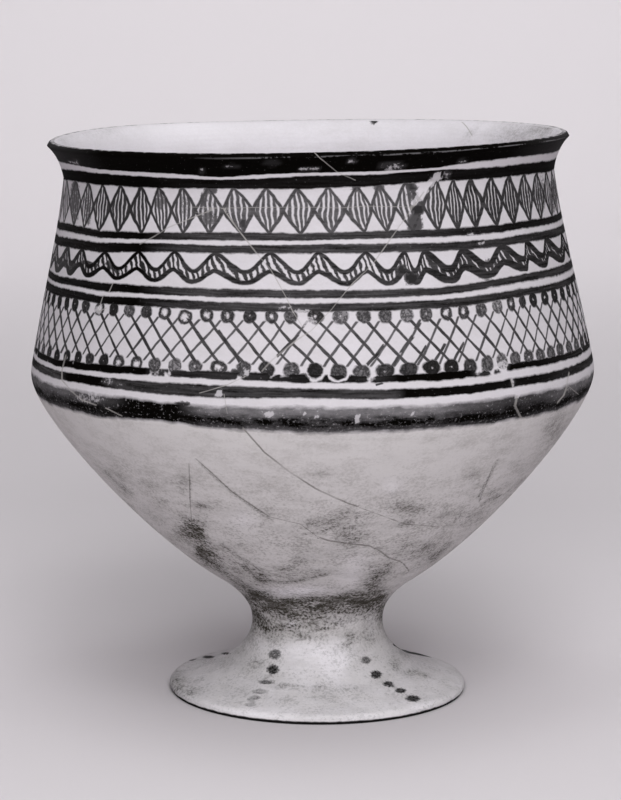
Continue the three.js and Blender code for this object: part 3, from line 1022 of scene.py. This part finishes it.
def touched_up_and_seat_shadow(clay, ink_and_shadow):
    """The paint with later strokes, smears and the foot's dots on it, and a painted contact shadow, black,
    along the foot's lowest edge.
    """
    strokes = line_of(clay.stroke_beside, clay.stroke_clear, clay.wobble)
    ink_and_shadow = ink_and_shadow.most(strokes * (clay.wobble * 0.25 + 0.78))
    ink_and_shadow = ink_and_shadow.most((clay.smear * 1.3 + clay.broken).above(0.55, 0.35) * (clay.smear * 0.45 + 0.52))
    far_dots = (clay.far_dot + (clay.fine_wobble - 0.5) * 0.8).above(0.0, 0.4)
    ink_and_shadow = ink_and_shadow.most(far_dots * (clay.fine_wobble * 0.5 + 0.66).limited())
    # Painted contact shadow: the lowest part of the foot's edge painted black
    return ink_and_shadow.most(clay.real_height.below(clay.wobble * 0.5 + FOOT_SHADOW_HEIGHT, 0.3) * 0.985)


def worn(clay, ink_and_shadow):
    """The paint worn along the lip, rubbed off in places and pitted all over."""
    lip_side = clay.round_angle.within(LIP_WEAR_LEFT, LIP_WEAR_RIGHT, 0.3)
    lip_flecks = (clay.brush + clay.fine_wobble * 0.5).above(0.78, 0.08) * lip_side
    lip_wear = clay.level.within(LIP_EDGE - 0.12, LIP_EDGE + 0.12, 0.25) * lip_flecks
    rubbed = (clay.rub * 1.3 + clay.broken).above(0.55, 0.3) * 0.6 + clay.rub * 0.12
    pits = clay.grain.above(0.69, 0.05) * 0.10
    return ink_and_shadow * (lip_wear * 0.24).flip() * rubbed.flip() * pits.flip()


def dirt_and_shade_on(clay):
    """Dirt in clouds, a few of them painted shade at the belly's sides, and along lines, with faint streaks
    and dark specks all over the plain clay.
    """
    speck = (clay.grain * 0.5 + clay.fine_wobble * 0.5).above(0.52, 0.12)
    along_lines = (clay.dirt_beside.size() + (clay.mottle - 0.5) * 1.6).below(0.8, 1.0)
    dirt_line = along_lines * clay.dirt_clear.below(1.5, 3.0) * 0.42
    clouded = clay.mottle * 1.7 + clay.cloud * 1.5 + clay.streak * 0.5 + (speck - 0.5) * 0.55 - 0.95
    dark_specks = (clay.grain * 0.6 + clay.cloud * 0.4).above(0.55, 0.05) * 0.19
    low_clay = clay.real_height.within(-6, 66, 20)
    faint = (clay.streak.above(0.54, 0.16) * 0.13 + speck * 0.06 + dark_specks) * low_clay
    dirt_and_shade = (clay.stain_and_shade * clouded + dirt_line * (speck * 0.5 + 0.6) + faint * clay.plain).limited()
    return dirt_and_shade * (clay.grain * 0.8 + clay.mottle * 0.6 + 0.22).limited()


def bare_clay(finish, clay):
    """The slip inside and out and the plain clay below, greyed and whitened unevenly, as one colour; the
    inside slip and one place under the bowl are painted lighter as painted light.
    """
    grain, mottle = clay.grain, clay.mottle
    fine_tone = (mottle - 0.5) * 1.1 + (clay.cloud - 0.5) * 1.1 + (grain - 0.5) * 1.1
    uneven_tone = fine_tone + (clay.wide - 0.5) * 0.6
    greyness = (uneven_tone * (clay.plain * 0.7 + 0.3) + 0.12).limited()
    inside = clay.level.above(level_of["mouth"] * MM + 1.0, 1.5)
    # The inside slip is painted lighter, as painted light
    wall = finish.blend(inside, SLIP, LIT_INSIDE_SLIP)
    base = finish.blend(clay.plain, wall, LOW_CLAY)
    toned = finish.blend(greyness, base, GREY_CLAY)
    foot_pale = clay.real_height.below(12, 12) * (mottle * 1.2 + (grain - 0.5) * 0.7)
    # Whitening over the foot and at the whiter places, one of them painted light under the bowl
    return finish.blend((clay.pale_and_lit * (mottle * 1.4 + 0.2) + foot_pale).limited(), toned, PALE_AND_LIT_CLAY)


def paint_clay():
    """The whole finish, laid on in turn: clay with some painted light, grime with painted shade at the
    belly's sides, paint with a painted contact shadow at the foot, and the mended breaks, with a faint
    relief.
    """
    finish = Finish("painted_clay")
    clay = Clay(finish)
    pattern, ring = painted_pattern(clay)
    ink_and_shadow = (painted_bands(clay) * ring.flip()).most(pattern)
    ink_and_shadow = worn(clay, touched_up_and_seat_shadow(clay, ink_and_shadow))
    crack_line = line_of(clay.break_beside, clay.break_clear, clay.wobble, 0.9)
    crack = crack_line * (clay.uneven * 1.3 + 0.05).limited()
    # Stains and grime over the clay, with the painted shade at the belly's sides
    dirty_and_shaded = finish.blend(dirt_and_shade_on(clay), bare_clay(finish, clay), STAIN_AND_SHADE_COLOUR)
    # The paint goes on, with the painted contact shadow at the foot in the same black
    painted = finish.blend(ink_and_shadow, dirty_and_shaded, PAINT_AND_SHADOW)
    crack_colour = finish.blend(clay.plain, BREAK_COLOUR, DEEP_BREAK)
    mended = finish.blend(crack * 0.8, painted, crack_colour)

    bump = finish.tree.nodes.new("ShaderNodeBump")
    bump.inputs["Strength"].default_value = 0.4
    bump.inputs["Distance"].default_value = 0.0004
    wheel_lines = (clay.climb * 4.2 + clay.mottle * 4).sum("SINE")
    relief = clay.mottle * 0.4 + clay.grain * 0.3 + clay.brush * 0.3 + wheel_lines * 0.04 - crack * 0.6
    finish.tree.links.new(relief.socket, bump.inputs["Height"])
    finish.tree.links.new(bump.outputs["Normal"], finish.shader.inputs["Normal"])
    finish.tree.links.new(mended, finish.shader.inputs["Base Color"])
    finish.shader.inputs["Roughness"].default_value = 0.85
    finish.shader.inputs["Specular IOR Level"].default_value = 0.03
    return finish.material


body_mesh.materials.append(paint_clay())
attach(body, "root")
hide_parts("goblet")

# Studio: soft lights from above and in front over a swept paper ground, which has its own at the back
LIGHTS = {
    "light_above": ((0.04, -0.08, 1.5), (0, 0, 0.05), (1.5, 1.5), 12.9),
    "light_high_in_front": ((0.15, -1.1, 1.5), (0, 0, 0.08), (0.6, 0.6), 5.8),
    "light_in_front": ((0.05, -1.6, 0.85), (0, 0, 0.08), (1.1, 0.8), 19.2),
    "light_on_paper": ((0.06, 1.06, 0.96), (0.06, 1.85, 0.3), (2.4, 0.4), 10.6),
}
SWEEP_FRONT = -2.0
SWEEP_BACK = 1.3
SWEEP_ROUNDING = 0.7
SWEEP_TOP = 3.0
SWEEP_HALF_WIDTH = 3.0
PAPER = (0.725, 0.69, 0.718)


def build_sweep():
    """A floor that bends up into a wall: a straight, a quarter circle and a straight, drawn sideways."""
    bend_angle = np.linspace(0, math.pi / 2, 25)
    curve = SWEEP_BACK + SWEEP_ROUNDING * np.sin(bend_angle)
    deep = np.concatenate([[SWEEP_FRONT], curve, [SWEEP_BACK + SWEEP_ROUNDING]])
    high = np.concatenate([[0], SWEEP_ROUNDING * (1 - np.cos(bend_angle)), [SWEEP_TOP]])
    left = np.column_stack([np.full(len(deep), -SWEEP_HALF_WIDTH), deep, high])
    right = left * (-1, 1, 1)
    steps = np.arange(len(deep) - 1)
    faces = np.column_stack([steps, steps + len(deep), steps + len(deep) + 1, steps + 1])
    mesh = bpy.data.meshes.new("paper_sweep")
    mesh.from_pydata(np.vstack([left, right]).tolist(), [], faces.tolist())
    mesh.shade_smooth()
    sweep = bpy.data.objects.new("paper_sweep", mesh)
    bpy.context.scene.collection.objects.link(sweep)
    paper = bpy.data.materials.new("studio_paper")
    paper.use_nodes = True
    shader = paper.node_tree.nodes["Principled BSDF"]
    shader.inputs["Base Color"].default_value = PAPER + (1.0,)
    shader.inputs["Roughness"].default_value = 0.9
    shader.inputs["Specular IOR Level"].default_value = 0.1
    mesh.materials.append(paper)


def soft_light(name, place, aim, size, power):
    data = bpy.data.lights.new(name, "AREA")
    data.shape = "RECTANGLE"
    data.size, data.size_y = size
    data.energy = power
    light = bpy.data.objects.new(name, data)
    bpy.context.scene.collection.objects.link(light)
    way = np.array(aim) - np.array(place)
    back = -way / np.linalg.norm(way)
    side = np.cross((0.0, 1.0, 0.0) if abs(back[2]) > 0.9 else (0.0, 0.0, 1.0), back)
    side = side / np.linalg.norm(side)
    up = np.cross(back, side)
    turn = np.eye(4)
    turn[:3, 0], turn[:3, 1], turn[:3, 2], turn[:3, 3] = side, up, back, place
    light.matrix_world = Matrix(turn.tolist())


def build_camera():
    data = bpy.data.cameras.new("camera")
    data.lens = CAMERA_LENS
    data.sensor_width = FILM_LONG_SIDE
    camera = bpy.data.objects.new("camera", data)
    bpy.context.scene.collection.objects.link(camera)
    level_right = np.array([1.0, 0.0, 0.0])
    level_up = np.array([0.0, math.sin(CAMERA_PITCH), math.cos(CAMERA_PITCH)])
    back = np.cross(level_right, level_up)
    turn = np.eye(4)
    turn[:3, 0] = math.cos(CAMERA_ROLL) * level_right + math.sin(CAMERA_ROLL) * level_up
    turn[:3, 1] = math.cos(CAMERA_ROLL) * level_up - math.sin(CAMERA_ROLL) * level_right
    turn[:3, 2] = back
    turn[:3, 3] = CAMERA_PLACE
    camera.matrix_world = Matrix(turn.tolist())
    data.clip_start = 0.01
    bpy.context.scene.camera = camera


build_sweep()
for light_name, settings in LIGHTS.items():
    soft_light(light_name, *settings)
world = bpy.data.worlds.new("studio")
world.use_nodes = True
world.node_tree.nodes["Background"].inputs["Color"].default_value = (1.0, 1.0, 1.0, 1.0)
world.node_tree.nodes["Background"].inputs["Strength"].default_value = 0.0
bpy.context.scene.world = world
bpy.context.scene.view_settings.view_transform = "Standard"
build_camera()
